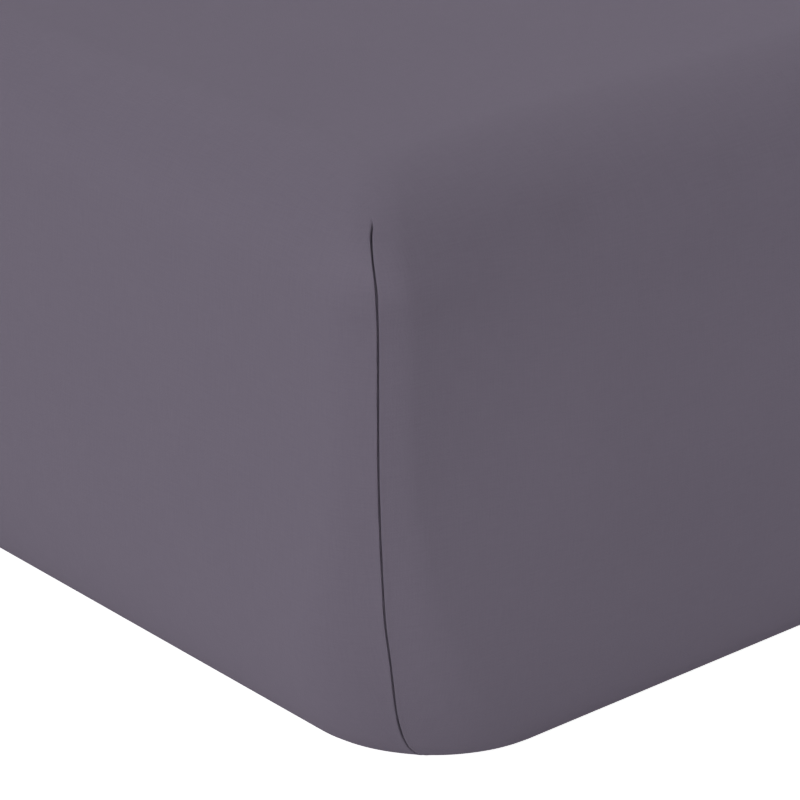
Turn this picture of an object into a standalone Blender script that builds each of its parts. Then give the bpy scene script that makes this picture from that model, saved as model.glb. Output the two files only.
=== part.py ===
"""A fitted sheet pulled taut over a plain single mattress. Metres, +Z up.

The origin is at the middle of the underside. X runs across the mattress and Y along it, so
the long sides face +X and -X and the ends face +Y and -Y.
The sheet is one cloth: a top panel, four walls and a hem that is turned under the mattress.
Each corner has one seam, which shows outside as a narrow groove and inside as a low ridge.

Both solids are stacks of level rings. A ring is a rectangle with rounded corners. A section,
which runs from the top panel down the wall and under the mattress, gives each ring its height,
how far it stands in from the widest outline at the sides and at the ends, and its corner radius.
"""
import math

import bmesh
import bpy

# The covered mattress, outside the cloth
BED_WIDTH = 0.900
BED_LENGTH = 2.000
BED_HEIGHT = 0.250

# The cloth and the room between it and the mattress
CLOTH = 0.0015
FIT_GAP = 0.0003
EDGE_EASE = 0.0050  # how much rounder the mattress's edges are than the cloth's inside

# The rounded top edge is broader at the sides than at the ends
TOP_ROUND_HEIGHT = 0.024
TOP_ROUND_SIDE = 0.042
TOP_ROUND_END = 0.034

# Below its proud top edge the wall draws in
DRAW_IN = 0.0035
DRAW_HEIGHT = 0.040

# The rounded lower edge is tucked under further at the ends than at the sides
LOW_SIDE_HEIGHT = 0.073
LOW_SIDE_DEPTH = 0.018
LOW_END_HEIGHT = 0.089
LOW_END_DEPTH = 0.050

# The flat cloth beneath the mattress
UNDER_TURN = 0.060  # hem included
HEM_WIDTH = 0.020
HEM_THICKNESS = 0.0030
HEM_FOLD = 0.0010  # how far the hem's folded edge bulges

# The corner's radius in plan, by place on the section
PANEL_CORNER = 0.012
TOP_EDGE_CORNER = 0.037
WALL_CORNER = 0.023
LOW_CORNER = 0.054
LOW_CORNER_HEIGHT = 0.158  # below this the corner grows rounder
HEM_CORNER = 0.110

# The corner seams
GROOVE_WIDTH = 0.0024
GROOVE_DEPTH = 0.0010
RIDGE_DEPTH = 0.0013  # the seam allowance, inside the cloth
UNDER_GROOVE = 0.4  # share of the groove's depth that is left beneath the mattress

# Where each seam lies on its corner's arc: 0 is the arc's start and 1 its end, counter-clockwise
SEAM_COLUMNS = ("panel", "wall", "low", "hem")
SEAMS = (
    (0.50, 0.575, 0.51, 0.52),  # front right
    (0.50, 0.440, 0.47, 0.49),  # back right
    (0.50, 0.560, 0.52, 0.51),  # back left
    (0.50, 0.430, 0.48, 0.47),  # front left
)

# How finely the solids are cut
TOP_ROUND_STEPS = 7
DRAW_STEPS = 3
WALL_STEPS = 2
LOW_ROUND_STEPS = 9
ARC_STEPS = 6  # on each side of a seam
LONG_SIDE_STATIONS = 3
SHORT_SIDE_STATIONS = 1

# Colours: linear red, green, blue
SHEET_COLOUR = (0.147, 0.130, 0.171, 1.0)
MATTRESS_COLOUR = (0.78, 0.76, 0.72, 1.0)

QUARTER_TURN = math.radians(90.0)
EDGE_HEIGHT = BED_HEIGHT - TOP_ROUND_HEIGHT  # where the rounded top edge ends


def clear_scene():
    for thing in list(bpy.data.objects):
        bpy.data.objects.remove(thing, do_unlink=True)


def smooth_step(value):
    value = min(max(value, 0.0), 1.0)
    return value * value * (3.0 - 2.0 * value)


def between(start, end, share):
    return start + (end - start) * share


def wall_corner(height):
    """The plan radius of the upright corner at one height."""
    upper = smooth_step(1.0 - (EDGE_HEIGHT - height) / DRAW_HEIGHT)
    lower = smooth_step(1.0 - height / LOW_CORNER_HEIGHT)
    radius = between(WALL_CORNER, TOP_EDGE_CORNER, upper)
    return between(radius, LOW_CORNER, lower)


def draw_in(height):
    """How far the wall stands back from its proud top edge at one height."""
    return DRAW_IN * smooth_step((EDGE_HEIGHT - height) / DRAW_HEIGHT)


def tuck_in(height, base, top, depth):
    """How far a quarter ellipse between base and top has turned under at one height."""
    rise = min((height - base) / (top - base), 1.0)
    return depth * (1.0 - math.sqrt(1.0 - (1.0 - rise) ** 2))


def seam_share(corner, height, hem_share):
    """Where the seam crosses one ring, as a share of the corner's arc."""
    place = dict(zip(SEAM_COLUMNS, SEAMS[corner]))
    upper = smooth_step((BED_HEIGHT - height) / (2.5 * TOP_ROUND_HEIGHT))
    lower = smooth_step(1.0 - height / LOW_SIDE_HEIGHT)
    share = between(place["panel"], place["wall"], upper)
    share = between(share, place["low"], lower)
    return between(share, place["hem"], hem_share)


def ring_row(side, end, height, radius, normal, groove=1.0, hem_share=0.0):
    """One ring of the section.

    side and end are how far it stands in from the widest outline, normal is the outward
    direction in the section's plane, and groove is the share of the seam's depth there.
    """
    return {
        "side": side,
        "end": end,
        "height": height,
        "radius": radius,
        "normal": normal,
        "groove": groove,
        "hem_share": hem_share,
    }


def top_rows(offset, ease):
    """The rounded top edge; offset is how far inside the cloth's outer face the surface lies."""
    rows = []
    for step in range(TOP_ROUND_STEPS + 1):
        angle = QUARTER_TURN * step / TOP_ROUND_STEPS
        back = 1.0 - math.sin(angle)
        radius = between(TOP_EDGE_CORNER, PANEL_CORNER, back) - offset * (1.0 - back) + ease
        rows.append(ring_row(
            offset + (TOP_ROUND_SIDE - offset + ease) * back,
            offset + (TOP_ROUND_END - offset + ease) * back,
            BED_HEIGHT - offset - (TOP_ROUND_HEIGHT - offset) * (1.0 - math.cos(angle)),
            radius,
            (math.sin(angle), math.cos(angle)),
            groove=smooth_step(step / 3.0),
        ))
    return rows


def wall_rows(offset, ease):
    """The upright wall, from under the top edge to where the lower edge begins to turn."""
    lowest = max(LOW_SIDE_HEIGHT, LOW_END_HEIGHT)
    heights = [EDGE_HEIGHT - DRAW_HEIGHT * (step + 1) / DRAW_STEPS for step in range(DRAW_STEPS)]
    drop = (heights[-1] - lowest) / WALL_STEPS
    heights += [heights[-1] - drop * (step + 1) for step in range(WALL_STEPS)]
    rows = []
    for height in heights:
        inset = offset + draw_in(height)
        radius = wall_corner(height) - offset + ease
        rows.append(ring_row(inset, inset, height, radius, (1.0, 0.0)))
    return rows


def low_rows(offset, base, ease):
    """The rounded lower edge, down to its flat underside at the height base."""
    start = max(LOW_SIDE_HEIGHT, LOW_END_HEIGHT)
    mean_depth = (LOW_SIDE_DEPTH + LOW_END_DEPTH) / 2.0
    rows = []
    for step in range(1, LOW_ROUND_STEPS + 1):
        angle = QUARTER_TURN * step / LOW_ROUND_STEPS
        height = base + (start - base) * (1.0 - math.sin(angle))
        outward = math.cos(angle) / mean_depth
        downward = math.sin(angle) / start
        size = math.hypot(outward, downward)
        rows.append(ring_row(
            offset + DRAW_IN + tuck_in(height, base, LOW_SIDE_HEIGHT, LOW_SIDE_DEPTH - offset),
            offset + DRAW_IN + tuck_in(height, base, LOW_END_HEIGHT, LOW_END_DEPTH - offset),
            height,
            wall_corner(height) - offset * math.cos(angle) + ease,
            (outward / size, -downward / size),
        ))
    return rows


def under_row(run, height, fold=0.0, groove=UNDER_GROOVE):
    """A ring of the flat cloth beneath the mattress, a run of so far from the rounded edge."""
    share = smooth_step(run / UNDER_TURN)
    side = DRAW_IN + LOW_SIDE_DEPTH + run + fold
    end = DRAW_IN + LOW_END_DEPTH + run + fold
    radius = between(LOW_CORNER, HEM_CORNER, share)
    return ring_row(side, end, height, radius, (0.0, -1.0), groove=groove, hem_share=share)


def section(offset, base, ease):
    """All the rows from the top panel's rim to the flat underside of the rounded lower edge."""
    return top_rows(offset, ease) + wall_rows(offset, ease) + low_rows(offset, base, ease)


def ring_stations(grooved):
    """The columns of every ring: (kind, corner, place), counter-clockwise from the front right."""
    stations = []
    for corner in range(4):
        stations += [("before seam", corner, step / ARC_STEPS) for step in range(ARC_STEPS + 1)]
        if grooved:
            stations.append(("seam", corner, 0.0))
            stations.append(("after seam", corner, 0.0))
        stations += [("after seam", corner, (step + 1) / ARC_STEPS) for step in range(ARC_STEPS)]
        count = LONG_SIDE_STATIONS if corner % 2 == 0 else SHORT_SIDE_STATIONS
        stations += [("straight", corner, (step + 1) / (count + 1)) for step in range(count)]
    return stations


def turned(across, along, corner):
    """Turn a vector a quarter turn for each corner."""
    for _ in range(corner):
        across, along = -along, across
    return across, along


def ring_point(station, ring, groove_width, groove_depth):
    """The point where one column crosses one ring.

    It is worked out beside the front right corner, where across is the way out of the wall
    that starts at the corner and along is the way on, and then turned to its own corner.
    """
    kind, corner, place = station
    radius = ring["radius"]
    height = ring["height"]
    half_width = BED_WIDTH / 2.0 - ring["side"]
    half_length = BED_LENGTH / 2.0 - ring["end"]
    if kind == "seam":
        depth = groove_depth * ring["groove"]
        half_width -= depth * ring["normal"][0]
        half_length -= depth * ring["normal"][0]
        radius -= depth * ring["normal"][0]
        height -= depth * ring["normal"][1]
    if corner % 2 == 0:
        half_across, half_along = half_width, half_length
    else:
        half_across, half_along = half_length, half_width
    if kind == "straight":
        along = between(-half_along + radius, half_along - radius, place)
        return (*turned(half_across, along, corner), height)
    seam = seam_share(corner, ring["height"], ring["hem_share"])
    half_groove = groove_width / 2.0 / (radius * QUARTER_TURN)
    if kind == "before seam":
        share = (seam - half_groove) * place
    elif kind == "after seam":
        share = between(seam + half_groove, 1.0, place)
    else:
        share = seam
    angle = QUARTER_TURN * (share - 1.0)
    across = half_across - radius + radius * math.cos(angle)
    along = -half_along + radius + radius * math.sin(angle)
    return (*turned(across, along, corner), height)


def stack_rings(name, layers):
    """Join rings into one closed mesh; each layer is (rows, groove width, groove depth)."""
    shell = bmesh.new()
    rings = []
    for rows, groove_width, groove_depth in layers:
        stations = ring_stations(groove_width > 0.0)
        for ring in rows:
            points = [ring_point(station, ring, groove_width, groove_depth) for station in stations]
            rings.append([shell.verts.new(point) for point in points])
    for upper, lower in zip(rings, rings[1:]):
        count = len(upper)
        for first in range(count):
            second = (first + 1) % count
            shell.faces.new((upper[first], lower[first], lower[second], upper[second]))
    shell.faces.new(rings[0])
    shell.faces.new(rings[-1])
    bmesh.ops.recalc_face_normals(shell, faces=shell.faces)
    mesh = bpy.data.meshes.new(name)
    shell.to_mesh(mesh)
    shell.free()
    mesh.shade_smooth()
    mesh.set_sharp_from_angle(angle=math.radians(60.0))
    thing = bpy.data.objects.new(name, mesh)
    bpy.context.collection.objects.link(thing)
    return thing


def plain_material(name, colour, roughness):
    material = bpy.data.materials.new(name)
    material.use_nodes = True
    shader = material.node_tree.nodes["Principled BSDF"]
    shader.inputs["Base Color"].default_value = colour
    shader.inputs["Roughness"].default_value = roughness
    shader.inputs["Metallic"].default_value = 0.0
    return material


def make_fitted_sheet():
    """The cloth: its outer face down to the hem, round the folded edge, and back up inside."""
    hem_start = UNDER_TURN - HEM_WIDTH
    outside = section(0.0, 0.0, 0.0)
    outside.append(under_row(hem_start, 0.0))
    outside.append(under_row(UNDER_TURN, 0.0, groove=0.0))
    inside = [
        under_row(UNDER_TURN, HEM_THICKNESS / 2.0, fold=HEM_FOLD, groove=0.0),
        under_row(UNDER_TURN, HEM_THICKNESS, groove=0.0),
        under_row(hem_start, HEM_THICKNESS, groove=0.0),
        under_row(hem_start - CLOTH, CLOTH),
    ]
    inside += reversed(section(CLOTH, CLOTH, 0.0))
    layers = (
        (outside, GROOVE_WIDTH, GROOVE_DEPTH),
        (inside, GROOVE_WIDTH, RIDGE_DEPTH),
    )
    sheet = stack_rings("fitted_sheet", layers)
    sheet.data.materials.append(plain_material("fine_cotton", SHEET_COLOUR, 0.9))
    return sheet


def make_mattress():
    """The plain mattress, which takes the form of the cloth's inside with a little room."""
    rows = section(CLOTH + FIT_GAP, HEM_THICKNESS + FIT_GAP, EDGE_EASE)
    mattress = stack_rings("mattress", ((rows, 0.0, 0.0),))
    mattress.data.materials.append(plain_material("mattress_cover", MATTRESS_COLOUR, 0.9))
    return mattress


clear_scene()
make_fitted_sheet()
make_mattress()
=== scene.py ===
"""The fitted sheet on its plain mattress, dressed for the photo: fine cloth, corner seams and light.

Metres, +Z up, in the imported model's frame. X runs across the mattress and Y along it. The long
sides face +X and -X and the ends face +Y and -Y. The photo shows the corner at +X and -Y.

Sheet and mattress are stacks of level rings, as in the part's source, with many more of them.
The cloth's own relief, such as its seams, bellies and creases, is then pushed out of those rings.
"""

import math

import bmesh
import bpy
import numpy as np
from mathutils import Matrix, Vector


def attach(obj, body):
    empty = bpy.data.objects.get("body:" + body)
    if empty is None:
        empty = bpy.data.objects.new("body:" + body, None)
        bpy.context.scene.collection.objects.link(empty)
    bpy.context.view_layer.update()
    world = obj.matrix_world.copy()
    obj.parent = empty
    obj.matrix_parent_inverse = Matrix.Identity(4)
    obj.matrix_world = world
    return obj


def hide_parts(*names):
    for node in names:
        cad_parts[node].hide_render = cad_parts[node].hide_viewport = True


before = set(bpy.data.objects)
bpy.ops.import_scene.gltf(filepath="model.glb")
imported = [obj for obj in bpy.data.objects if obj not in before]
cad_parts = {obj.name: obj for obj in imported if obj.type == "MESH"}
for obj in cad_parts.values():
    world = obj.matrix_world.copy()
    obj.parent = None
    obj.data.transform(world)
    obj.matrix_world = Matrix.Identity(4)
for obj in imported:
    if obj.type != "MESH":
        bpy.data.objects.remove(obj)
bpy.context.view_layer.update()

# ---------------------------------------------------------------------------------------------
# The covered mattress: the sizes of the part's source, but for a rounder top edge
# ---------------------------------------------------------------------------------------------
BED_WIDTH = 0.900
BED_LENGTH = 2.000
BED_HEIGHT = 0.250
CLOTH = 0.0015
FIT_GAP = 0.0003
EDGE_EASE = 0.0050  # how much rounder the mattress's edges are than the cloth's inside
WALL_INSET = 0.0035  # from the widest outline in to the walls

# The top edge is as round as the photo shows it, rounder than on the part's plain solids. On the
# long sides it grows broader away from the corners, towards the panel and down the wall.
SHOULDER = 0.042
BROADER = 0.010
BROADER_START = 0.025  # from the mattress's end
BROADER_FULL = 0.110
PANEL_FADE = 0.070
WALL_FADE = 0.150

# The rounded lower edge
LOW_SIDE_HEIGHT = 0.073
LOW_SIDE_DEPTH = 0.018
LOW_END_HEIGHT = 0.089
LOW_END_DEPTH = 0.050

# The cloth that is turned under the mattress
UNDER_TURN = 0.060  # hem included
HEM_WIDTH = 0.020
HEM_THICKNESS = 0.0030
HEM_FOLD = 0.0010  # how far the hem's folded edge bulges

# The corners' radii in plan, from the panel down to the hem
PANEL_CORNER = 0.012
TOP_EDGE_CORNER = 0.014
WALL_CORNER = 0.023
CORNER_RISE = (0.200, 0.235)  # over these heights the corner sharpens towards the top
LOW_CORNER = 0.054
LOW_CORNER_HEIGHT = 0.158  # below this the corner grows rounder
HEM_CORNER = 0.110

# Where each corner's seam lies, as shares of the corner's arc
SEAM_COLUMNS = ("panel", "wall", "low", "hem")
SEAMS = (
    (0.425, 0.578, 0.497, 0.52),  # front right
    (0.50, 0.440, 0.47, 0.49),  # back right
    (0.50, 0.560, 0.52, 0.51),  # back left
    (0.50, 0.430, 0.48, 0.47),  # front left
)
SEAM_BEND = 0.034  # below the top, where the seam reaches its place on the wall

# ---------------------------------------------------------------------------------------------
# The cloth's own relief
# ---------------------------------------------------------------------------------------------
# The seam is a narrow slit between two turned edges, each with a low rounded lip
SEAM_TOP = 0.2368  # the seam starts this high
SEAM_FADE = 0.0012
SEAM_HOOK = 0.0005  # how far its first few millimetres lean over
SEAM_HOOK_HEIGHT = 0.0030
SLIT_HALF_WIDTH = 0.00029
SLIT_DEPTH = 0.0020
SLIT_UNEVEN = (  # (wavelength, phase, share of its width)
    (0.021, 0.0, 0.16),
    (0.0083, 1.0, 0.10),
)
LIP_HEIGHT = 0.00016
LIP_PLACE = 0.0011
LIP_WIDTH = 0.0008
PUCKER_HEIGHT = 0.00004
PUCKER_LENGTH = 0.0067
PUCKER_REACH = 0.0022
UNDER_HEIGHT = 0.002  # below this the cloth lies beneath the mattress
UNDER_SLIT = 0.4  # share of the slit's depth that is left there

# Inside the cloth, the seam's allowance is a ridge
RIDGE_DEPTH = 0.0013
RIDGE_HALF_WIDTH = 0.0012

# The seam's top end is fastened off in a small dimple, with a low rim that is placed in dimples
DIMPLE_DEPTH = 0.00045
DIMPLE_ACROSS = 0.0009
DIMPLE_UP = 0.0007
RIM_HEIGHT = 0.00012
RIM_PLACE = 2.2
RIM_WIDTH = 0.9

# Short fine creases fan out beside that end
FAN_TOP = 0.2370
FAN_AWAY = 0.0058  # from the seam, at the height of its top
FAN_LEAN = 0.16
FAN_MIDDLE = 0.2285
FAN_HALF_LENGTH = 0.0080
FAN_CENTRE = 0.0020
FAN_HALF_WIDTH = 0.0042
FAN_PITCH = 0.0019
FAN_DEPTH = 0.000022

# The corner creases a little along its seam
CREASE_REACH = 0.0095
CREASE_SHARE = 0.60
CREASE_TOP_FADE = 0.014
CREASE_BASE = 0.020
CREASE_BASE_FADE = 0.060

# The corner stands proud of the end wall beside it
PROUD_CORNER = 0.0009
PROUD_FLAT = 0.026  # in full so far from the seam
PROUD_REACH = 0.072
PROUD_TOP_FADE = 0.020

# The mattress's firm top edge pushes the cloth of the long sides out
EDGE_PUSH = 0.0034
EDGE_LEVEL = 0.2220
EDGE_FADE_ABOVE = 0.0200
EDGE_FADE_BELOW = 0.0170

# Beside each corner that push is stronger and higher
FIRM_SPOT = 0.060  # from the seam
FIRM_REACH = 0.055
FIRM_SHARE = 0.30
FIRM_RISE = 0.0050

# That edge is uneven along the sheet: (wavelength, phase, share of its push)
SCALLOPS = (
    (0.127, 4.0, 0.09),
    (0.071, 0.6, 0.09),
    (0.043, 2.1, 0.04),
    (0.026, 5.2, 0.02),
)
SCALLOP_START = 0.020  # from the seam
SCALLOP_FULL = 0.050

# The long walls belly out at mid-height, more and more away from the seam
BELLY = 0.0065
BELLY_FULL = 0.110  # from the seam
BELLY_HEIGHT = 0.115
BELLY_SPAN = 0.055
BELLY_BASE = 0.004
BELLY_BASE_FADE = 0.032

# The top panel is a little higher inside its edges
CROWN = 0.0004
CROWN_START = 0.022
CROWN_FULL = 0.080

# Long low waves of the taut cloth: (wavelength, heading in degrees, height)
WAVES = (
    (0.310, 12.0, 0.00016),
    (0.215, 71.0, 0.00013),
    (0.143, 128.0, 0.00010),
    (0.097, 33.0, 0.00006),
    (0.066, 102.0, 0.00004),
)
WAVE_LEAN = (0.35, -0.25)  # along X and Y, for each metre that they run up a wall
WAVE_RISE = 1.7  # how much longer they are up a wall
WAVE_STEP = 1.9  # radians from one to the next

# Close to the floor the corner and the waves fade out
FLOOR_CLEAR = 0.012
FLOOR_FADE = 0.050

MATTRESS_SHARE = 0.6  # of the relief that the mattress follows; the sheet bridges the rest

# ---------------------------------------------------------------------------------------------
# How fine the meshes are
# ---------------------------------------------------------------------------------------------
# Rings over the top edge, down the wall and round the lower edge
OUTSIDE_STEPS = (34, 22, 22)
INSIDE_STEPS = (18, 8, 10)
MATTRESS_STEPS = (14, 7, 12)
UNDER_RUNS = (0.013, 0.026, UNDER_TURN - HEM_WIDTH, 0.050, UNDER_TURN)
TOP_PANEL_STEPS = 3
LOW_PANEL_STEPS = 4

# Columns on each corner, before and after its seam; the photo's corner comes first
BEFORE_STEPS = (14, 8, 8, 8)
AFTER_STEPS = (22, 8, 8, 8)
MATTRESS_ARC_STEPS = (5, 5, 5, 5)

# Columns in a narrow zone on both sides of the seam, at these shares of its half width
NEAR_ZONE = 0.0030
NEAR_SPOTS = (0.040, 0.085, 0.125, 0.165, 0.215, 0.30, 0.42, 0.58, 0.78, 1.0)
NEAR_LIMIT = 0.35  # the most of a corner's arc that the half width takes
MATTRESS_ZONE = 1e-6  # nearly none, since the mattress has no seam

# Columns along the walls, from each of their ends: (first step, how far it lasts, growth)
PHOTO_END = (0.0048, 0.215, 1.25)
PLAIN_END = (0.006, 0.05, 1.25)
MATTRESS_END = (0.02, 0.05, 1.2)
WIDTH_STEP = 0.025  # the longest steps
LENGTH_STEP = 0.028
MATTRESS_WIDTH_STEP = 0.035
MATTRESS_LENGTH_STEP = 0.045
MATTRESS_CORNER = 0.060  # what a wall leaves to each of its corners

BEFORE, NEAR, AFTER, STRAIGHT = range(4)  # the kinds of columns
OUTER, INNER = range(2)  # the cloth's two faces
NO_RADIUS = 1e-7
QUARTER_TURN = math.radians(90.0)
FULL_TURN = 2.0 * math.pi


def smooth_step(value):
    value = np.clip(value, 0.0, 1.0)
    return value * value * (3.0 - 2.0 * value)


def between(start, end, share):
    return start + (end - start) * share


def bell(value):
    return np.exp(-value * value)


def ripple(place, length, phase=0.0):
    return np.sin(FULL_TURN * place / length + phase)


# ---------------------------------------------------------------------------------------------
# Rings
# ---------------------------------------------------------------------------------------------
def wall_corner(height):
    """The plan radius of the upright corner at one height."""
    start, end = CORNER_RISE
    upper = smooth_step((height - start) / (end - start))
    lower = smooth_step(1.0 - height / LOW_CORNER_HEIGHT)
    radius = between(WALL_CORNER, TOP_EDGE_CORNER, upper)
    return between(radius, LOW_CORNER, lower)


def tuck_in(height, base, top, depth):
    """How far a quarter ellipse between base and top has turned under at one height."""
    rise = min((height - base) / (top - base), 1.0)
    return depth * (1.0 - math.sqrt(1.0 - (1.0 - rise) ** 2))


def ring_row(side, end, height, radius, outward, upward, hem_share=0.0, panel=False):
    """One ring: its insets from the widest outline, its height, radius and surface direction."""
    return {
        "side": side,
        "end": end,
        "height": height,
        "radius": radius,
        "outward": outward,
        "upward": upward,
        "hem_share": hem_share,
        "panel": panel,
        "layer": OUTER,
        "hook": 0.0,
    }


def top_rows(offset, ease, steps):
    """The rounded top edge; offset is how far inside the cloth's outer face the surface lies."""
    rows = []
    for step in range(steps + 1):
        angle = QUARTER_TURN * step / steps
        back = 1.0 - math.sin(angle)
        height = BED_HEIGHT - offset - (SHOULDER - offset) * (1.0 - math.cos(angle))
        inset = offset + WALL_INSET + (SHOULDER - offset + ease) * back
        radius = between(wall_corner(height), PANEL_CORNER, back) - offset * (1.0 - back) + ease
        rows.append(ring_row(inset, inset, height, radius, math.sin(angle), math.cos(angle)))
    return rows


def wall_rows(offset, ease, steps):
    """The upright wall, from under the top edge to where the lower edge begins to turn."""
    lowest = max(LOW_SIDE_HEIGHT, LOW_END_HEIGHT)
    start = BED_HEIGHT - SHOULDER
    inset = offset + WALL_INSET
    rows = []
    for step in range(steps):
        height = between(start, lowest, (step + 1) / steps)
        rows.append(ring_row(inset, inset, height, wall_corner(height) - offset + ease, 1.0, 0.0))
    return rows


def low_rows(offset, base, ease, steps):
    """The rounded lower edge, down to its flat underside at the height base."""
    start = max(LOW_SIDE_HEIGHT, LOW_END_HEIGHT)
    mean_depth = (LOW_SIDE_DEPTH + LOW_END_DEPTH) / 2.0
    rows = []
    for step in range(1, steps + 1):
        angle = QUARTER_TURN * step / steps
        height = base + (start - base) * (1.0 - math.sin(angle))
        outward = math.cos(angle) / mean_depth
        downward = math.sin(angle) / start
        size = math.hypot(outward, downward)
        rows.append(ring_row(
            offset + WALL_INSET + tuck_in(height, base, LOW_SIDE_HEIGHT, LOW_SIDE_DEPTH - offset),
            offset + WALL_INSET + tuck_in(height, base, LOW_END_HEIGHT, LOW_END_DEPTH - offset),
            height,
            wall_corner(height) - offset * math.cos(angle) + ease,
            outward / size,
            -downward / size,
        ))
    return rows


def under_row(run, height, fold=0.0):
    """A ring of the flat cloth beneath the mattress, a run of so far from the rounded edge."""
    share = smooth_step(run / UNDER_TURN)
    side = WALL_INSET + LOW_SIDE_DEPTH + run + fold
    end = WALL_INSET + LOW_END_DEPTH + run + fold
    radius = between(LOW_CORNER, HEM_CORNER, share)
    return ring_row(side, end, height, radius, 0.0, -1.0, hem_share=share)


def section(offset, base, ease, steps):
    """All the rows from the top panel's rim down to the flat underside of the lower edge."""
    top, wall, low = steps
    rows = top_rows(offset, ease, top)
    rows += wall_rows(offset, ease, wall)
    rows += low_rows(offset, base, ease, low)
    return rows


def panel_rows(rim, shrink_steps):
    """Rings inside a flat rim, whose corners shrink to points."""
    rows = []
    for step in range(1, shrink_steps + 1):
        inward = rim["radius"] * (step / shrink_steps)
        rows.append(ring_row(
            rim["side"] + inward,
            rim["end"] + inward,
            rim["height"],
            rim["radius"] - inward,
            0.0,
            math.copysign(1.0, rim["upward"]),
            hem_share=rim["hem_share"],
            panel=True,
        ))
    return rows


def add_cut_lengths(rows):
    """Note how far along the flat cloth each row lies from the middle of the top panel."""
    last = rows[0]
    side = BED_WIDTH / 2.0 - last["side"]
    end = BED_LENGTH / 2.0 - last["end"]
    for row in rows:
        drop = row["height"] - last["height"]
        side += math.hypot(row["side"] - last["side"], drop)
        end += math.hypot(row["end"] - last["end"], drop)
        row["cut_side"] = side
        row["cut_end"] = end
        last = row
    return rows


# ---------------------------------------------------------------------------------------------
# Columns
# ---------------------------------------------------------------------------------------------
def graded_places(length, front, back, coarse):
    """Places from 0 to 1 along a wall, whose steps grow from both of its ends up to coarse."""
    ends = []
    for fine, reach, growth in (front, back):
        spots = [fine]
        step = fine
        while spots[-1] < length / 2.0 - coarse:
            if spots[-1] > reach:
                step = min(step * growth, coarse)
            spots.append(spots[-1] + step)
        ends.append(spots)
    first, last = ends
    gap = length - first[-1] - last[-1]
    middle = max(int(round(gap / coarse)), 1)
    spots = first + [first[-1] + gap * (k + 1) / middle for k in range(middle - 1)]
    spots += [length - spot for spot in reversed(last)]
    return [spot / length for spot in spots]


def ring_columns(before_steps, near, after_steps, width_places, length_places):
    """Columns (corner, kind, place), counter-clockwise from the front right corner."""
    walls = (
        length_places,
        [1.0 - place for place in reversed(width_places)],
        [1.0 - place for place in reversed(length_places)],
        width_places,
    )
    columns = []
    for corner in range(4):
        before, after = before_steps[corner], after_steps[corner]
        columns += [(corner, BEFORE, step / before) for step in range(before)]
        columns += [(corner, NEAR, place) for place in near]
        columns += [(corner, AFTER, (step + 1) / after) for step in range(after)]
        columns += [(corner, STRAIGHT, place) for place in walls[corner]]
    return {
        "corner": np.array([column[0] for column in columns]),
        "kind": np.array([column[1] for column in columns]),
        "place": np.array([column[2] for column in columns]),
        "width_places": np.array(width_places),
        "length_places": np.array(length_places),
    }


def seam_share(corner, height, hem_share):
    """Where the seam crosses one ring, as a share of the corner's arc."""
    place = dict(zip(SEAM_COLUMNS, SEAMS[corner]))
    upper = smooth_step((BED_HEIGHT - height) / SEAM_BEND)
    lower = smooth_step(1.0 - height / LOW_SIDE_HEIGHT)
    share = between(place["panel"], place["wall"], upper)
    share = between(share, place["low"], lower)
    return between(share, place["hem"], hem_share)


def turned(across, along, quarter_turns):
    """Turn vectors by so many quarter turns."""
    for _ in range(quarter_turns):
        across, along = -along, across
    return across, along


def lay_ring(columns, row, near_zone):
    """Where every column crosses one ring, with what the relief and the weave need there."""
    count = len(columns["corner"])
    ring = {
        "row": row,
        "point": np.zeros((count, 3)),
        "heading": np.zeros((count, 2)),
        "from_seam": np.zeros(count),
        "run": np.zeros((count, 2)),
    }
    radius = row["radius"]
    arc = max(radius * QUARTER_TURN, 1e-9)
    halves = (BED_WIDTH / 2.0 - row["side"], BED_LENGTH / 2.0 - row["end"])
    zone = min(near_zone, NEAR_LIMIT * arc)
    seams = [seam_share(corner, row["height"], row["hem_share"]) + row["hook"] / arc
             for corner in range(4)]
    for corner in range(4):
        mine = columns["corner"] == corner
        kind = columns["kind"][mine]
        place = columns["place"][mine]
        across_half, along_half = halves if corner % 2 == 0 else halves[::-1]
        straight = 2.0 * (along_half - radius)
        seam, next_seam = seams[corner], seams[(corner + 1) % 4]
        share = np.select(
            [kind == BEFORE, kind == NEAR, kind == AFTER],
            [
                (seam - zone / arc) * place,
                seam + place * zone / arc,
                between(seam + zone / arc, 1.0, place),
            ],
            1.0,
        )
        angle = QUARTER_TURN * (share - 1.0)
        on_straight = kind == STRAIGHT
        across = across_half - radius + radius * np.cos(angle)
        along = -along_half + radius + radius * np.sin(angle)
        along = np.where(on_straight, -straight / 2.0 + straight * place, along)
        x, y = turned(across, along, corner)
        ring["point"][mine] = np.stack([x, y, np.full_like(x, row["height"])], axis=1)
        out_x, out_y = turned(np.cos(angle), np.sin(angle), corner)
        ring["heading"][mine] = np.stack([out_x, out_y], axis=1)

        # the distance from the nearest seam, past it or before it
        after = (1.0 - seam) * arc + straight * place
        ahead = -(next_seam * arc + straight * (1.0 - place))
        nearer = np.where(after < -ahead, after, ahead)
        ring["from_seam"][mine] = np.where(on_straight, nearer, (share - seam) * arc)

        # the run along the flat cloth of the wall that starts here and of the one that ends
        here = np.where(on_straight, along, -straight / 2.0 - (1.0 - share) * arc)
        previous_straight = 2.0 * (across_half - radius)
        there = np.where(on_straight, along, previous_straight / 2.0 + share * arc)
        ring["run"][mine] = np.stack([here, there], axis=1)
    return ring


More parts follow.
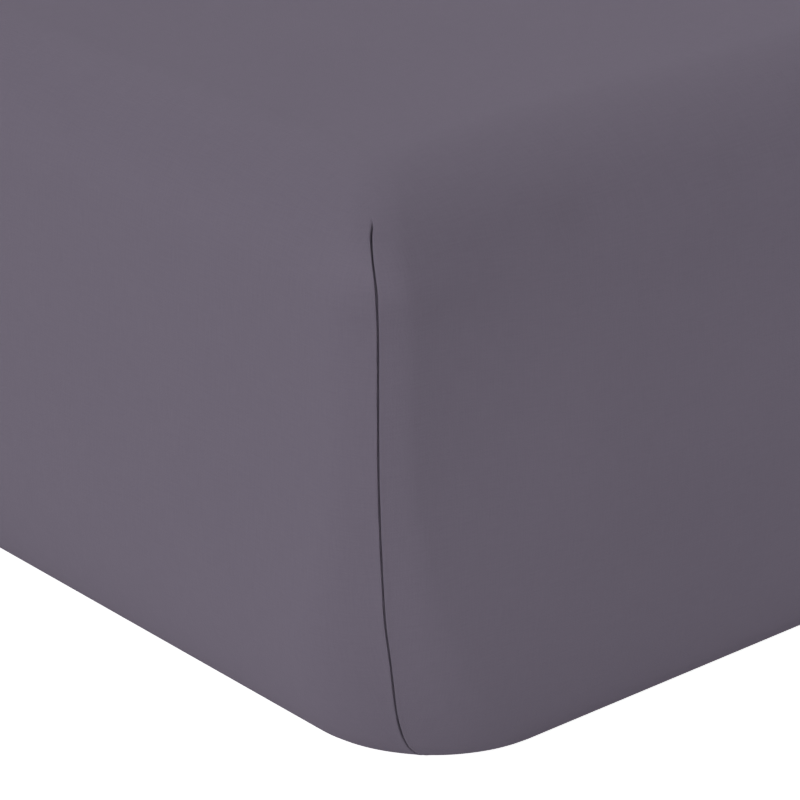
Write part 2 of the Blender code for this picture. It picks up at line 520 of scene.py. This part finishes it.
# ---------------------------------------------------------------------------------------------
# Shells
# ---------------------------------------------------------------------------------------------
class Shell:
    """A closed mesh that is stacked from rings, with the flat cloth's own coordinates."""

    def __init__(self, columns, near_zone):
        self.columns = columns
        self.near_zone = near_zone
        self.points = []
        self.outs = []
        self.from_seam = []
        self.layers = []
        self.faces = []
        self.cut = []  # the flat cloth's coordinates for every corner of every face
        self.count = 0

    def add_points(self, points, outs, from_seam, layer):
        first = self.count
        self.points.append(points)
        self.outs.append(outs)
        self.from_seam.append(from_seam)
        self.layers.append(np.full(len(points), layer))
        self.count += len(points)
        return np.arange(first, self.count)

    def add_ring(self, row):
        ring = lay_ring(self.columns, row, self.near_zone)
        upward = np.full((len(ring["heading"]), 1), row["upward"])
        outs = np.concatenate([ring["heading"] * row["outward"], upward], axis=1)
        ring["index"] = self.add_points(ring["point"], outs, ring["from_seam"], row["layer"])
        if row["radius"] < NO_RADIUS:
            for corner in range(4):
                turn = (self.columns["corner"] == corner) & (self.columns["kind"] != STRAIGHT)
                ring["index"][turn] = ring["index"][np.argmax(turn)]
        return ring

    def add_face(self, corners, cut):
        """One face, without the corners that have shrunk into their neighbours."""
        kept = [k for k in range(len(corners)) if corners[k] != corners[k - 1]]
        if len(kept) >= 3:
            self.faces.append([int(corners[k]) for k in kept])
            self.cut += [cut[k] for k in kept]

    def join(self, upper, lower):
        """Faces between two rings."""
        corner, kind, place = (self.columns[key] for key in ("corner", "kind", "place"))
        before_seam = (kind == BEFORE) | ((kind == NEAR) & (place < -1e-9))
        upper_cut, lower_cut = self.flat_cut(upper), self.flat_cut(lower)
        for first in range(len(corner)):
            second = (first + 1) % len(corner)
            side = int(before_seam[first])
            other = side if corner[second] == corner[first] else 1
            corners = [upper["index"][first], lower["index"][first],
                       lower["index"][second], upper["index"][second]]
            cut = [upper_cut[side][first], lower_cut[side][first],
                   lower_cut[other][second], upper_cut[other][second]]
            self.add_face(corners, cut)

    def flat_cut(self, ring):
        """Flat coordinates of a ring's points, for the wall that starts and the one that ends."""
        columns = self.columns
        if ring["row"]["panel"]:
            flat = ring["point"][:, :2]
            return flat, flat
        both = []
        for side in (0, 1):
            flat = np.zeros((len(columns["corner"]), 2))
            for corner in range(4):
                mine = columns["corner"] == corner
                straight = columns["kind"][mine] == STRAIGHT
                wall = np.where(straight, corner, (corner - side) % 4)
                run = ring["run"][mine][:, side]
                for turns in range(4):
                    chosen = wall == turns
                    distance = ring["row"]["cut_side" if turns % 2 == 0 else "cut_end"]
                    u, v = turned(np.full(chosen.sum(), distance), run[chosen], turns)
                    place = np.flatnonzero(mine)[chosen]
                    flat[place] = np.stack([u, v], axis=1)
            both.append(flat)
        return both

    def stack(self, rows):
        """Rings for all the rows, each joined to the one above it."""
        rings = [self.add_ring(row) for row in rows]
        for upper, lower in zip(rings, rings[1:]):
            self.join(upper, lower)
        return rings

    def add_panel(self, rim, shrink_steps, facing_down=False):
        """A flat panel inside a rim: rings whose corners shrink to points, then a grid."""
        outer = rim
        for row in panel_rows(rim["row"], shrink_steps):
            ring = self.add_ring(row)
            self.join(*((outer, ring) if facing_down else (ring, outer)))
            outer = ring
        self.fill_panel(outer, facing_down)

    def fill_panel(self, ring, facing_down):
        """The grid inside a ring whose corners have shrunk to points."""
        columns = self.columns
        row = ring["row"]
        half_width = BED_WIDTH / 2.0 - row["side"]
        half_length = BED_LENGTH / 2.0 - row["end"]
        xs = np.concatenate([[-1.0], columns["width_places"] * 2.0 - 1.0, [1.0]]) * half_width
        ys = np.concatenate([[-1.0], columns["length_places"] * 2.0 - 1.0, [1.0]]) * half_length
        wide, long = len(xs), len(ys)
        grid = np.zeros((wide, long), dtype=int)
        inner_x, inner_y = np.meshgrid(xs[1:-1], ys[1:-1], indexing="ij")
        spots = np.stack([inner_x.ravel(), inner_y.ravel(),
                          np.full(inner_x.size, row["height"])], axis=1)
        outs = np.tile([0.0, 0.0, row["upward"]], (len(spots), 1))
        far = np.full(len(spots), 1.0)
        inside = self.add_points(spots, outs, far, row["layer"])
        grid[1:-1, 1:-1] = inside.reshape(wide - 2, long - 2)
        straight = [ring["index"][(columns["corner"] == corner) & (columns["kind"] == STRAIGHT)]
                    for corner in range(4)]
        grid[-1, 1:-1] = straight[0]
        grid[1:-1, -1] = straight[1][::-1]
        grid[0, 1:-1] = straight[2][::-1]
        grid[1:-1, 0] = straight[3]
        points = [ring["index"][np.argmax(columns["corner"] == corner)] for corner in range(4)]
        grid[-1, 0], grid[-1, -1], grid[0, -1], grid[0, 0] = points
        for i in range(wide - 1):
            for j in range(long - 1):
                around = [(i, j), (i + 1, j), (i + 1, j + 1), (i, j + 1)]
                if facing_down:
                    around.reverse()
                self.add_face([grid[spot] for spot in around], [(xs[a], ys[b]) for a, b in around])

    def arrays(self):
        return (np.concatenate(self.points), np.concatenate(self.outs),
                np.concatenate(self.from_seam), np.concatenate(self.layers))

    def make_object(self, name, points):
        mesh = bpy.data.meshes.new(name)
        mesh.from_pydata(points.tolist(), [], self.faces)
        layer = mesh.uv_layers.new(name="cut_cloth")
        layer.data.foreach_set("uv", np.array(self.cut, dtype=np.float32).ravel())
        mesh.validate()
        mesh.shade_smooth()
        piece = bpy.data.objects.new(name, mesh)
        bpy.context.collection.objects.link(piece)
        drop_loose_points(mesh)
        return piece


def drop_loose_points(mesh):
    """Take out the points that no face uses, such as those of the shrunk corners."""
    work = bmesh.new()
    work.from_mesh(mesh)
    loose = [vert for vert in work.verts if not vert.link_faces]
    bmesh.ops.delete(work, geom=loose, context="VERTS")
    work.to_mesh(mesh)
    work.free()


# ---------------------------------------------------------------------------------------------
# Relief
# ---------------------------------------------------------------------------------------------
def upright_share(height):
    """1 on the walls and the top, fading to 0 towards the floor."""
    return smooth_step((height - FLOOR_CLEAR) / FLOOR_FADE)


def seam_presence(height):
    """1 along the seam and 0 above its top."""
    return smooth_step((SEAM_TOP + SEAM_FADE - height) / (2.0 * SEAM_FADE))


def long_side_share(outs):
    """1 where the cloth faces a long side and 0 where it faces an end, changing at the corners."""
    across, along = outs[:, 0] ** 2, outs[:, 1] ** 2
    return across / np.maximum(across + along, 1e-9)


def faces_down(outs):
    return outs[:, 2] < -0.9


def broaden_shoulder(points, outs):
    """Let the rounded top edge of the long sides grow broader away from the corners."""
    from_side = BED_WIDTH / 2.0 - WALL_INSET - np.abs(points[:, 0])
    from_end = BED_LENGTH / 2.0 - np.abs(points[:, 1])
    grown = BROADER * smooth_step((from_end - BROADER_START) / (BROADER_FULL - BROADER_START))
    outward = np.hypot(outs[:, 0], outs[:, 1])
    inward = np.where(outs[:, 2] > 0.0, grown * (1.0 - outward), 0.0)
    inward *= 1.0 - smooth_step((from_side - SHOULDER) / PANEL_FADE)
    down = grown * (1.0 - np.clip(outs[:, 2], 0.0, 1.0)) * long_side_share(outs)
    down *= smooth_step((points[:, 2] - (BED_HEIGHT - SHOULDER - WALL_FADE)) / WALL_FADE)
    moved = points.copy()
    moved[:, 0] -= np.sign(points[:, 0]) * inward
    moved[:, 2] -= down
    return moved


def waves(points):
    """Long low waves, worked out on the flat cloth and always outwards."""
    lean_x, lean_y = WAVE_LEAN
    u = points[:, 0] + lean_x * points[:, 2]
    v = points[:, 1] + lean_y * points[:, 2]
    lift = np.zeros(len(points))
    for number, (length, heading, height) in enumerate(WAVES):
        angle = math.radians(heading)
        phase = FULL_TURN * (u * math.cos(angle) + v * math.sin(angle)) / length
        rise = FULL_TURN * points[:, 2] / (length * WAVE_RISE)
        lift += height * (1.0 + np.sin(phase + rise + WAVE_STEP * number))
    return lift


def proud_edge(points, outs, from_seam):
    """The push of the mattress's firm top edge on the long sides, in uneven scallops."""
    height = points[:, 2]
    on_side = long_side_share(outs)
    away = np.abs(from_seam)
    run = np.where(on_side > 0.5, points[:, 1], points[:, 0])
    scallops = sum(share * ripple(run, length, phase) for length, phase, share in SCALLOPS)
    scallops *= smooth_step((away - SCALLOP_START) / (SCALLOP_FULL - SCALLOP_START))
    firm = bell((away - FIRM_SPOT) / FIRM_REACH)
    level = EDGE_LEVEL + FIRM_RISE * firm
    fade = np.where(height > level, EDGE_FADE_ABOVE, EDGE_FADE_BELOW)
    push = EDGE_PUSH * (1.0 + FIRM_SHARE * firm) * bell((height - level) / fade) * on_side
    return push * (1.0 + scallops) * np.hypot(outs[:, 0], outs[:, 1])


def proud_corner(points, outs, from_seam):
    """How the upright corner stands proud of the end wall."""
    height = points[:, 2]
    near = 1.0 - smooth_step((np.abs(from_seam) - PROUD_FLAT) / (PROUD_REACH - PROUD_FLAT))
    upright = upright_share(height) * smooth_step((BED_HEIGHT - height) / PROUD_TOP_FADE)
    return PROUD_CORNER * near * (1.0 - long_side_share(outs)) * upright


def wall_belly(points, outs, from_seam):
    """The belly of the long walls."""
    height = points[:, 2]
    further = smooth_step(np.abs(from_seam) / BELLY_FULL)
    lower = smooth_step((height - BELLY_BASE) / BELLY_BASE_FADE)
    belly = BELLY * further * bell((height - BELLY_HEIGHT) / BELLY_SPAN)
    return belly * lower * long_side_share(outs)


def crown(points, outs):
    """The low crown of the top panel."""
    from_side = BED_WIDTH / 2.0 - np.abs(points[:, 0])
    from_end = BED_LENGTH / 2.0 - np.abs(points[:, 1])
    across = smooth_step((from_side - CROWN_START) / (CROWN_FULL - CROWN_START))
    along = smooth_step((from_end - CROWN_START) / (CROWN_FULL - CROWN_START))
    return CROWN * across * along * np.maximum(outs[:, 2], 0.0)


def body_relief(points, outs, from_seam):
    """The part of the relief that comes from the mattress below."""
    return (proud_edge(points, outs, from_seam) + wall_belly(points, outs, from_seam)
            + proud_corner(points, outs, from_seam) + crown(points, outs))


def seam_crease(from_seam, height):
    """How the cloth peaks towards the seam, as if creased along it."""
    reach = np.maximum(CREASE_REACH - np.abs(from_seam), 0.0)
    lift = CREASE_SHARE * reach * reach / (2.0 * WALL_CORNER)
    above = smooth_step((SEAM_TOP - height) / CREASE_TOP_FADE)
    below = smooth_step((height - CREASE_BASE) / CREASE_BASE_FADE)
    return lift * seam_presence(height) * above * below


def seam_slit(from_seam, height):
    """The slit and its lips, with the small unevenness of a sewn edge."""
    uneven = 1.0 + sum(share * ripple(height, length, phase)
                       for length, phase, share in SLIT_UNEVEN)
    depth = SLIT_DEPTH * bell((from_seam / (SLIT_HALF_WIDTH * uneven)) ** 2)
    lips = LIP_HEIGHT * bell((np.abs(from_seam) - LIP_PLACE) / LIP_WIDTH)
    pucker = PUCKER_HEIGHT * ripple(height, PUCKER_LENGTH) * bell(from_seam / PUCKER_REACH)
    return (lips + pucker - depth) * seam_presence(height)


def seam_end(from_seam, height):
    """The small dimple where the seam's top end is fastened off."""
    away = np.hypot(from_seam / DIMPLE_ACROSS, (height - SEAM_TOP) / DIMPLE_UP)
    return -DIMPLE_DEPTH * bell(away) + RIM_HEIGHT * bell((away - RIM_PLACE) / RIM_WIDTH)


def fine_creases(from_seam, height):
    """Short fine creases that fan out beside the top of the seam."""
    along = from_seam - FAN_AWAY - (FAN_TOP - height) * FAN_LEAN
    run = bell((height - FAN_MIDDLE) / FAN_HALF_LENGTH)
    across = bell((along - FAN_CENTRE) / FAN_HALF_WIDTH)
    return FAN_DEPTH * ripple(along, FAN_PITCH) * run * across


def cloth_relief(points, outs, from_seam, inner):
    """How far each point of the cloth is pushed out of its ring; inner marks its inner face."""
    height = points[:, 2]
    push = waves(points) * upright_share(height)
    push += body_relief(points, outs, from_seam)
    push += seam_crease(from_seam, height)
    ridge = RIDGE_DEPTH * np.maximum(1.0 - np.abs(from_seam) / RIDGE_HALF_WIDTH, 0.0)
    inside = np.where(faces_down(outs), 0.0, push - ridge * seam_presence(height))
    slit_share = np.where(height < UNDER_HEIGHT, UNDER_SLIT, 1.0)
    outside = push + seam_slit(from_seam, height) * slit_share
    outside += seam_end(from_seam, height) + fine_creases(from_seam, height)
    return np.where(inner, inside, outside)


# ---------------------------------------------------------------------------------------------
# The two pieces
# ---------------------------------------------------------------------------------------------
def sheet_columns():
    near = [-spot for spot in reversed(NEAR_SPOTS)] + [0.0] + list(NEAR_SPOTS)
    corners = 2.0 * LOW_CORNER
    width_places = graded_places(BED_WIDTH - corners, PLAIN_END, PHOTO_END, WIDTH_STEP)
    length_places = graded_places(BED_LENGTH - corners, PHOTO_END, PLAIN_END, LENGTH_STEP)
    return ring_columns(BEFORE_STEPS, near, AFTER_STEPS, width_places, length_places)


def sheet_rows():
    """The cloth's rows: down its outer face, round the hem's fold and up its inner face."""
    hem_start = UNDER_TURN - HEM_WIDTH
    outside = section(0.0, 0.0, 0.0, OUTSIDE_STEPS)
    outside += [under_row(run, 0.0) for run in UNDER_RUNS]
    for row in outside:
        over = smooth_step((row["height"] - SEAM_TOP + SEAM_HOOK_HEIGHT) / SEAM_HOOK_HEIGHT)
        row["hook"] = SEAM_HOOK * float(over)
    inside = [
        under_row(UNDER_TURN, HEM_THICKNESS / 2.0, fold=HEM_FOLD),
        under_row(UNDER_TURN, HEM_THICKNESS),
        under_row(hem_start, HEM_THICKNESS),
        under_row(hem_start - CLOTH, CLOTH),
    ]
    inside += reversed(section(CLOTH, CLOTH, 0.0, INSIDE_STEPS))
    for row in inside:
        row["layer"] = INNER
    return add_cut_lengths(outside + inside)


def make_sheet():
    shell = Shell(sheet_columns(), NEAR_ZONE)
    rings = shell.stack(sheet_rows())
    shell.add_panel(rings[0], TOP_PANEL_STEPS)
    inner_rim = rings[-1]
    shell.add_face(inner_rim["index"][::-1], inner_rim["point"][::-1, :2].tolist())

    points, outs, from_seam, layers = shell.arrays()
    points = broaden_shoulder(points, outs)
    push = cloth_relief(points, outs, from_seam, layers == INNER)
    points = points + outs * push[:, None]
    points[:, 2] = np.maximum(points[:, 2], 0.0)
    return shell.make_object("fitted_sheet_cloth", points)


def mattress_columns():
    corners = 2.0 * MATTRESS_CORNER
    width_places = graded_places(
        BED_WIDTH - corners, MATTRESS_END, MATTRESS_END, MATTRESS_WIDTH_STEP)
    length_places = graded_places(
        BED_LENGTH - corners, MATTRESS_END, MATTRESS_END, MATTRESS_LENGTH_STEP)
    return ring_columns(
        MATTRESS_ARC_STEPS, [0.0], MATTRESS_ARC_STEPS, width_places, length_places)


def make_mattress():
    shell = Shell(mattress_columns(), MATTRESS_ZONE)
    offset, base = CLOTH + FIT_GAP, HEM_THICKNESS + FIT_GAP
    rings = shell.stack(add_cut_lengths(section(offset, base, EDGE_EASE, MATTRESS_STEPS)))
    shell.add_panel(rings[0], TOP_PANEL_STEPS)
    shell.add_panel(rings[-1], LOW_PANEL_STEPS, facing_down=True)

    points, outs, from_seam, _ = shell.arrays()
    points = broaden_shoulder(points, outs)
    push = MATTRESS_SHARE * body_relief(points, outs, from_seam)
    points = points + outs * np.where(faces_down(outs), 0.0, push)[:, None]
    return shell.make_object("plain_mattress", points)


# ---------------------------------------------------------------------------------------------
# Materials
# ---------------------------------------------------------------------------------------------
def linear(hex_code):
    """The linear colour of an sRGB hex value such as 6B6573."""
    channels = []
    for start in (0, 2, 4):
        value = int(hex_code[start:start + 2], 16) / 255.0
        value = value / 12.92 if value <= 0.04045 else ((value + 0.055) / 1.055) ** 2.4
        channels.append(value)
    return (*channels, 1.0)


def add_node(tree, kind, inputs=None, **settings):
    """Add one node; an input given as an output socket is linked, and any other is set."""
    node = tree.nodes.new(kind)
    for name, value in settings.items():
        setattr(node, name, value)
    for name, value in (inputs or {}).items():
        if isinstance(value, bpy.types.NodeSocket):
            tree.links.new(value, node.inputs[name])
        else:
            node.inputs[name].default_value = value
    return node


def new_material(name):
    material = bpy.data.materials.new(name)
    material.use_nodes = True
    tree = material.node_tree
    return material, tree, tree.nodes["Principled BSDF"]


# The sheet's threads are 0.3 mm apart. They are drawn coarser, because finer ones vanish.
SHEET_THREAD = 0.00064
SHEET_WAVER = 0.0009  # how far a thread strays from its line
COVER_THREAD = 0.0011
COVER_WAVER = 0.0012

# Patterns, by how many of their spots go to a metre
WAVERS = 45.0  # a thread strays over about 22 mm
SLUBS_ACROSS = 1600.0  # thicker and paler threads, about 0.6 mm wide
SLUBS_ALONG = 90.0  # and 11 mm long
DYE_CLOUDS = 14.0  # about 70 mm
STREAKS = (75.0, 75.0, 7.0)  # about 13 mm wide and 140 mm tall
FIBRES = 1500.0  # about 0.7 mm, coarser than real ones, so that they show
PAPER_PULP = 900.0  # about 1.1 mm

# How deep their relief is
STREAK_DEPTH = 0.00025
WEAVE_DEPTH = 0.000004
FIBRE_DEPTH = 0.00014
COVER_WEAVE_DEPTH = 0.00008

FLOOR_GLOW = 0.95  # so that the floor comes out as white as the photo's


def woven_threads(tree, flat, pitch, waver):
    """The height of a plain weave: warp and weft that pass over and under each other."""
    warp_noise = add_node(tree, "ShaderNodeTexNoise", {
        "Vector": flat, "Scale": WAVERS, "Detail": 1.0, "Roughness": 0.5})
    centred = add_node(tree, "ShaderNodeVectorMath", {
        0: warp_noise.outputs["Color"], 1: (0.5, 0.5, 0.5)}, operation="SUBTRACT")
    moved = add_node(tree, "ShaderNodeVectorMath", {
        0: centred.outputs["Vector"], "Scale": waver}, operation="SCALE")
    place = add_node(tree, "ShaderNodeVectorMath", {
        0: flat, 1: moved.outputs["Vector"]}, operation="ADD")
    turns = add_node(tree, "ShaderNodeVectorMath", {
        0: place.outputs["Vector"], "Scale": math.pi / pitch}, operation="SCALE")
    parts = add_node(tree, "ShaderNodeSeparateXYZ", {0: turns.outputs["Vector"]})
    warp = add_node(tree, "ShaderNodeMath", {0: parts.outputs["X"]}, operation="SINE")
    weft = add_node(tree, "ShaderNodeMath", {0: parts.outputs["Y"]}, operation="SINE")
    crossing = add_node(tree, "ShaderNodeMath", {
        0: warp.outputs["Value"], 1: weft.outputs["Value"]}, operation="MULTIPLY")
    return crossing.outputs["Value"]


def uneven_threads(tree, flat):
    """Threads that are a little thicker or paler than their neighbours, in warp and weft."""
    slubs = []
    for scale in ((SLUBS_ACROSS, SLUBS_ALONG, 1.0), (SLUBS_ALONG, SLUBS_ACROSS, 1.0)):
        stretched = add_node(tree, "ShaderNodeMapping", {"Vector": flat, "Scale": scale})
        slubs.append(add_node(tree, "ShaderNodeTexNoise", {
            "Vector": stretched.outputs["Vector"], "Scale": 1.0, "Detail": 1.0}))
    both = add_node(tree, "ShaderNodeMath", {
        0: slubs[0].outputs["Fac"], 1: slubs[1].outputs["Fac"]}, operation="ADD")
    return both.outputs["Value"]


def fine_cotton():
    """Fine plain-woven cotton, dyed mauve-grey: matt, with a faint bloom of fibre ends."""
    material, tree, shader = new_material("fine_woven_cotton")
    flat = add_node(tree, "ShaderNodeUVMap", uv_map="cut_cloth").outputs["UV"]
    place = add_node(tree, "ShaderNodeTexCoord").outputs["Object"]
    weave = woven_threads(tree, flat, SHEET_THREAD, SHEET_WAVER)
    slub = uneven_threads(tree, flat)

    # the dyed threads, with soft clouds in the dye
    tone = add_node(tree, "ShaderNodeMath", {0: weave, 1: 0.10, 2: slub},
                    operation="MULTIPLY_ADD")
    shade = add_node(tree, "ShaderNodeMapRange", {
        "Value": tone.outputs["Value"], "From Min": 0.6, "From Max": 1.4,
        "To Min": 0.0, "To Max": 1.0})
    threads = add_node(tree, "ShaderNodeMix", {
        "Factor": shade.outputs["Result"], "A": linear("645D6A"), "B": linear("68616E")},
        data_type="RGBA")
    clouds = add_node(tree, "ShaderNodeTexNoise", {
        "Vector": place, "Scale": DYE_CLOUDS, "Detail": 3.0, "Roughness": 0.55})
    dye = add_node(tree, "ShaderNodeMix", {
        "Factor": clouds.outputs["Fac"], "A": linear("FAFAFB"), "B": linear("FFFFFF")},
        data_type="RGBA")
    colour = add_node(tree, "ShaderNodeMix", {
        "Factor": 1.0, "A": threads.outputs["Result"], "B": dye.outputs["Result"]},
        data_type="RGBA", blend_type="MULTIPLY")
    tree.links.new(colour.outputs["Result"], shader.inputs["Base Color"])

    # thicker threads are a little rougher
    rough = add_node(tree, "ShaderNodeMapRange", {
        "Value": slub, "From Min": 0.6, "From Max": 1.4, "To Min": 0.84, "To Max": 0.94})
    tree.links.new(rough.outputs["Result"], shader.inputs["Roughness"])

    # faint upright streaks where the cloth is pulled taut, then the weave, then the fibres
    stretched = add_node(tree, "ShaderNodeMapping", {"Vector": place, "Scale": STREAKS})
    streaks = add_node(tree, "ShaderNodeTexNoise", {
        "Vector": stretched.outputs["Vector"], "Scale": 1.0, "Detail": 2.0, "Roughness": 0.45})
    pulled = add_node(tree, "ShaderNodeBump", {
        "Height": streaks.outputs["Fac"], "Distance": STREAK_DEPTH, "Strength": 1.0})
    relief = add_node(tree, "ShaderNodeMath", {0: slub, 1: 0.5, 2: weave},
                      operation="MULTIPLY_ADD")
    woven = add_node(tree, "ShaderNodeBump", {
        "Height": relief.outputs["Value"], "Distance": WEAVE_DEPTH, "Strength": 1.0,
        "Normal": pulled.outputs["Normal"]})
    fibres = add_node(tree, "ShaderNodeTexNoise", {
        "Vector": place, "Scale": FIBRES, "Detail": 1.0, "Roughness": 0.6})
    grain = add_node(tree, "ShaderNodeBump", {
        "Height": fibres.outputs["Fac"], "Distance": FIBRE_DEPTH, "Strength": 1.0,
        "Normal": woven.outputs["Normal"]})
    tree.links.new(grain.outputs["Normal"], shader.inputs["Normal"])

    shader.inputs["Specular IOR Level"].default_value = 0.1
    shader.inputs["Sheen Weight"].default_value = 0.01
    shader.inputs["Sheen Roughness"].default_value = 0.5
    shader.inputs["Sheen Tint"].default_value = linear("CFC4DA")
    return material


def mattress_cover():
    """Undyed cotton-blend mattress cover, woven thicker than the sheet: off-white and matt."""
    material, tree, shader = new_material("woven_mattress_cover")
    flat = add_node(tree, "ShaderNodeUVMap", uv_map="cut_cloth").outputs["UV"]
    weave = woven_threads(tree, flat, COVER_THREAD, COVER_WAVER)
    shade = add_node(tree, "ShaderNodeMapRange", {
        "Value": weave, "From Min": -1.0, "From Max": 1.0, "To Min": 0.0, "To Max": 1.0})
    colour = add_node(tree, "ShaderNodeMix", {
        "Factor": shade.outputs["Result"], "A": linear("DDD9D1"), "B": linear("E8E4DD")},
        data_type="RGBA")
    tree.links.new(colour.outputs["Result"], shader.inputs["Base Color"])
    woven = add_node(tree, "ShaderNodeBump", {
        "Height": weave, "Distance": COVER_WEAVE_DEPTH, "Strength": 1.0})
    tree.links.new(woven.outputs["Normal"], shader.inputs["Normal"])
    shader.inputs["Roughness"].default_value = 0.92
    shader.inputs["Sheen Weight"].default_value = 0.1
    return material


def studio_paper():
    """Matt white background paper, with the faint mottle of its pulp."""
    material, tree, shader = new_material("studio_paper")
    place = add_node(tree, "ShaderNodeTexCoord").outputs["Object"]
    pulp = add_node(tree, "ShaderNodeTexNoise", {
        "Vector": place, "Scale": PAPER_PULP, "Detail": 2.0})
    colour = add_node(tree, "ShaderNodeMix", {
        "Factor": pulp.outputs["Fac"], "A": linear("F8F8F8"), "B": linear("FCFCFC")},
        data_type="RGBA")
    tree.links.new(colour.outputs["Result"], shader.inputs["Base Color"])
    shader.inputs["Roughness"].default_value = 0.95
    shader.inputs["Specular IOR Level"].default_value = 0.2
    shader.inputs["Emission Color"].default_value = (1.0, 1.0, 1.0, 1.0)
    shader.inputs["Emission Strength"].default_value = FLOOR_GLOW
    return material


# ---------------------------------------------------------------------------------------------
# Studio
# ---------------------------------------------------------------------------------------------
CAMERA_HEADING = math.radians(49.44)
CAMERA_TILT = math.radians(23.49)
CAMERA_DISTANCE = 1.3907  # from the sharp corner of the box, along the view
CORNER_PIXEL = (365.9, 220.0)  # where that corner lies in the photo
FOCAL_PIXELS = 3951.8
FRAME_PIXELS = 800.0
SENSOR = 36.0  # in millimetres
CLIP_NEAR = 0.05
CLIP_FAR = 100.0

FLOOR_REACH = 12.0
FLOOR_LEVEL = -0.0002  # just under the hem

# A light tent, brighter towards these sides: (heading, height above the floor, both in degrees,
# how narrow the light is, strength). Heading 0 is towards -Y and 90 towards +X.
TENT_LIGHTS = (
    (340.0, 0.0, 4.0, 1.50),
    (300.0, 60.0, 48.0, 5.83),
    (100.0, 60.0, 48.0, 12.20),
    (220.0, 40.0, 48.0, 10.80),
    (300.0, 0.0, 16.0, 3.62),
    (60.0, -20.0, 8.0, 3.75),
)


def pointing(heading, height):
    """The direction towards a heading, both given in radians, so high above the floor."""
    return (math.sin(heading) * math.cos(height), -math.cos(heading) * math.cos(height),
            math.sin(height))


def make_camera():
    """The photo's camera, placed by the mattress's sharp corner in the picture."""
    camera = bpy.data.cameras.new("photo_camera")
    holder = bpy.data.objects.new("photo_camera", camera)
    bpy.context.collection.objects.link(holder)
    back = Vector(pointing(CAMERA_HEADING, CAMERA_TILT))
    right = Vector((math.cos(CAMERA_HEADING), math.sin(CAMERA_HEADING), 0.0))
    up = back.cross(right)
    corner = Vector((BED_WIDTH / 2.0, -BED_LENGTH / 2.0, BED_HEIGHT))
    per_pixel = CAMERA_DISTANCE / FOCAL_PIXELS
    middle = FRAME_PIXELS / 2.0
    place = corner + back * CAMERA_DISTANCE
    place -= right * ((CORNER_PIXEL[0] - middle) * per_pixel)
    place += up * ((CORNER_PIXEL[1] - middle) * per_pixel)
    turn = Matrix((right, up, back)).transposed()
    holder.matrix_world = Matrix.Translation(place) @ turn.to_4x4()
    camera.sensor_width = SENSOR
    camera.lens = FOCAL_PIXELS / FRAME_PIXELS * SENSOR
    camera.clip_start = CLIP_NEAR
    camera.clip_end = CLIP_FAR
    bpy.context.scene.camera = holder


def make_floor():
    """The white floor. It neither shades nor tints the sheet."""
    mesh = bpy.data.meshes.new("floor")
    corners = [(x * FLOOR_REACH, y * FLOOR_REACH, FLOOR_LEVEL)
               for x, y in ((-1, -1), (1, -1), (1, 1), (-1, 1))]
    mesh.from_pydata(corners, [], [(0, 1, 2, 3)])
    floor = bpy.data.objects.new("floor", mesh)
    bpy.context.collection.objects.link(floor)
    mesh.materials.append(studio_paper())
    floor.visible_diffuse = False
    floor.visible_glossy = False
    floor.visible_shadow = False


def make_light_tent():
    """Soft light from all around, from tent walls that are lit unevenly."""
    world = bpy.data.worlds.new("light_tent")
    world.use_nodes = True
    tree = world.node_tree
    view = add_node(tree, "ShaderNodeTexCoord").outputs["Generated"]
    total = 0.0
    for heading, height, narrow, strength in TENT_LIGHTS:
        towards = pointing(math.radians(heading), math.radians(height))
        facing = add_node(tree, "ShaderNodeVectorMath", {0: view, 1: towards},
                          operation="DOT_PRODUCT")
        lit = add_node(tree, "ShaderNodeMath", {0: facing.outputs["Value"], 1: 0.0},
                       operation="MAXIMUM")
        spread = add_node(tree, "ShaderNodeMath", {0: lit.outputs["Value"], 1: narrow},
                          operation="POWER")
        total = add_node(tree, "ShaderNodeMath", {
            0: spread.outputs["Value"], 1: strength, 2: total},
            operation="MULTIPLY_ADD").outputs["Value"]
    # looked at, the tent is plain white
    seen = add_node(tree, "ShaderNodeLightPath").outputs["Is Camera Ray"]
    total = add_node(tree, "ShaderNodeMath", {0: total, 1: seen},
                     operation="MAXIMUM").outputs["Value"]
    background = tree.nodes["Background"]
    tree.links.new(total, background.inputs["Strength"])
    background.inputs["Color"].default_value = (1.0, 1.0, 1.0, 1.0)
    bpy.context.scene.world = world


sheet = make_sheet()
sheet.data.materials.append(fine_cotton())
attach(sheet, "root")
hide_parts("fitted_sheet")

mattress = make_mattress()
mattress.data.materials.append(mattress_cover())
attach(mattress, "root")
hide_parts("mattress")

make_camera()
make_floor()
make_light_tent()
bpy.context.scene.view_settings.view_transform = "Standard"
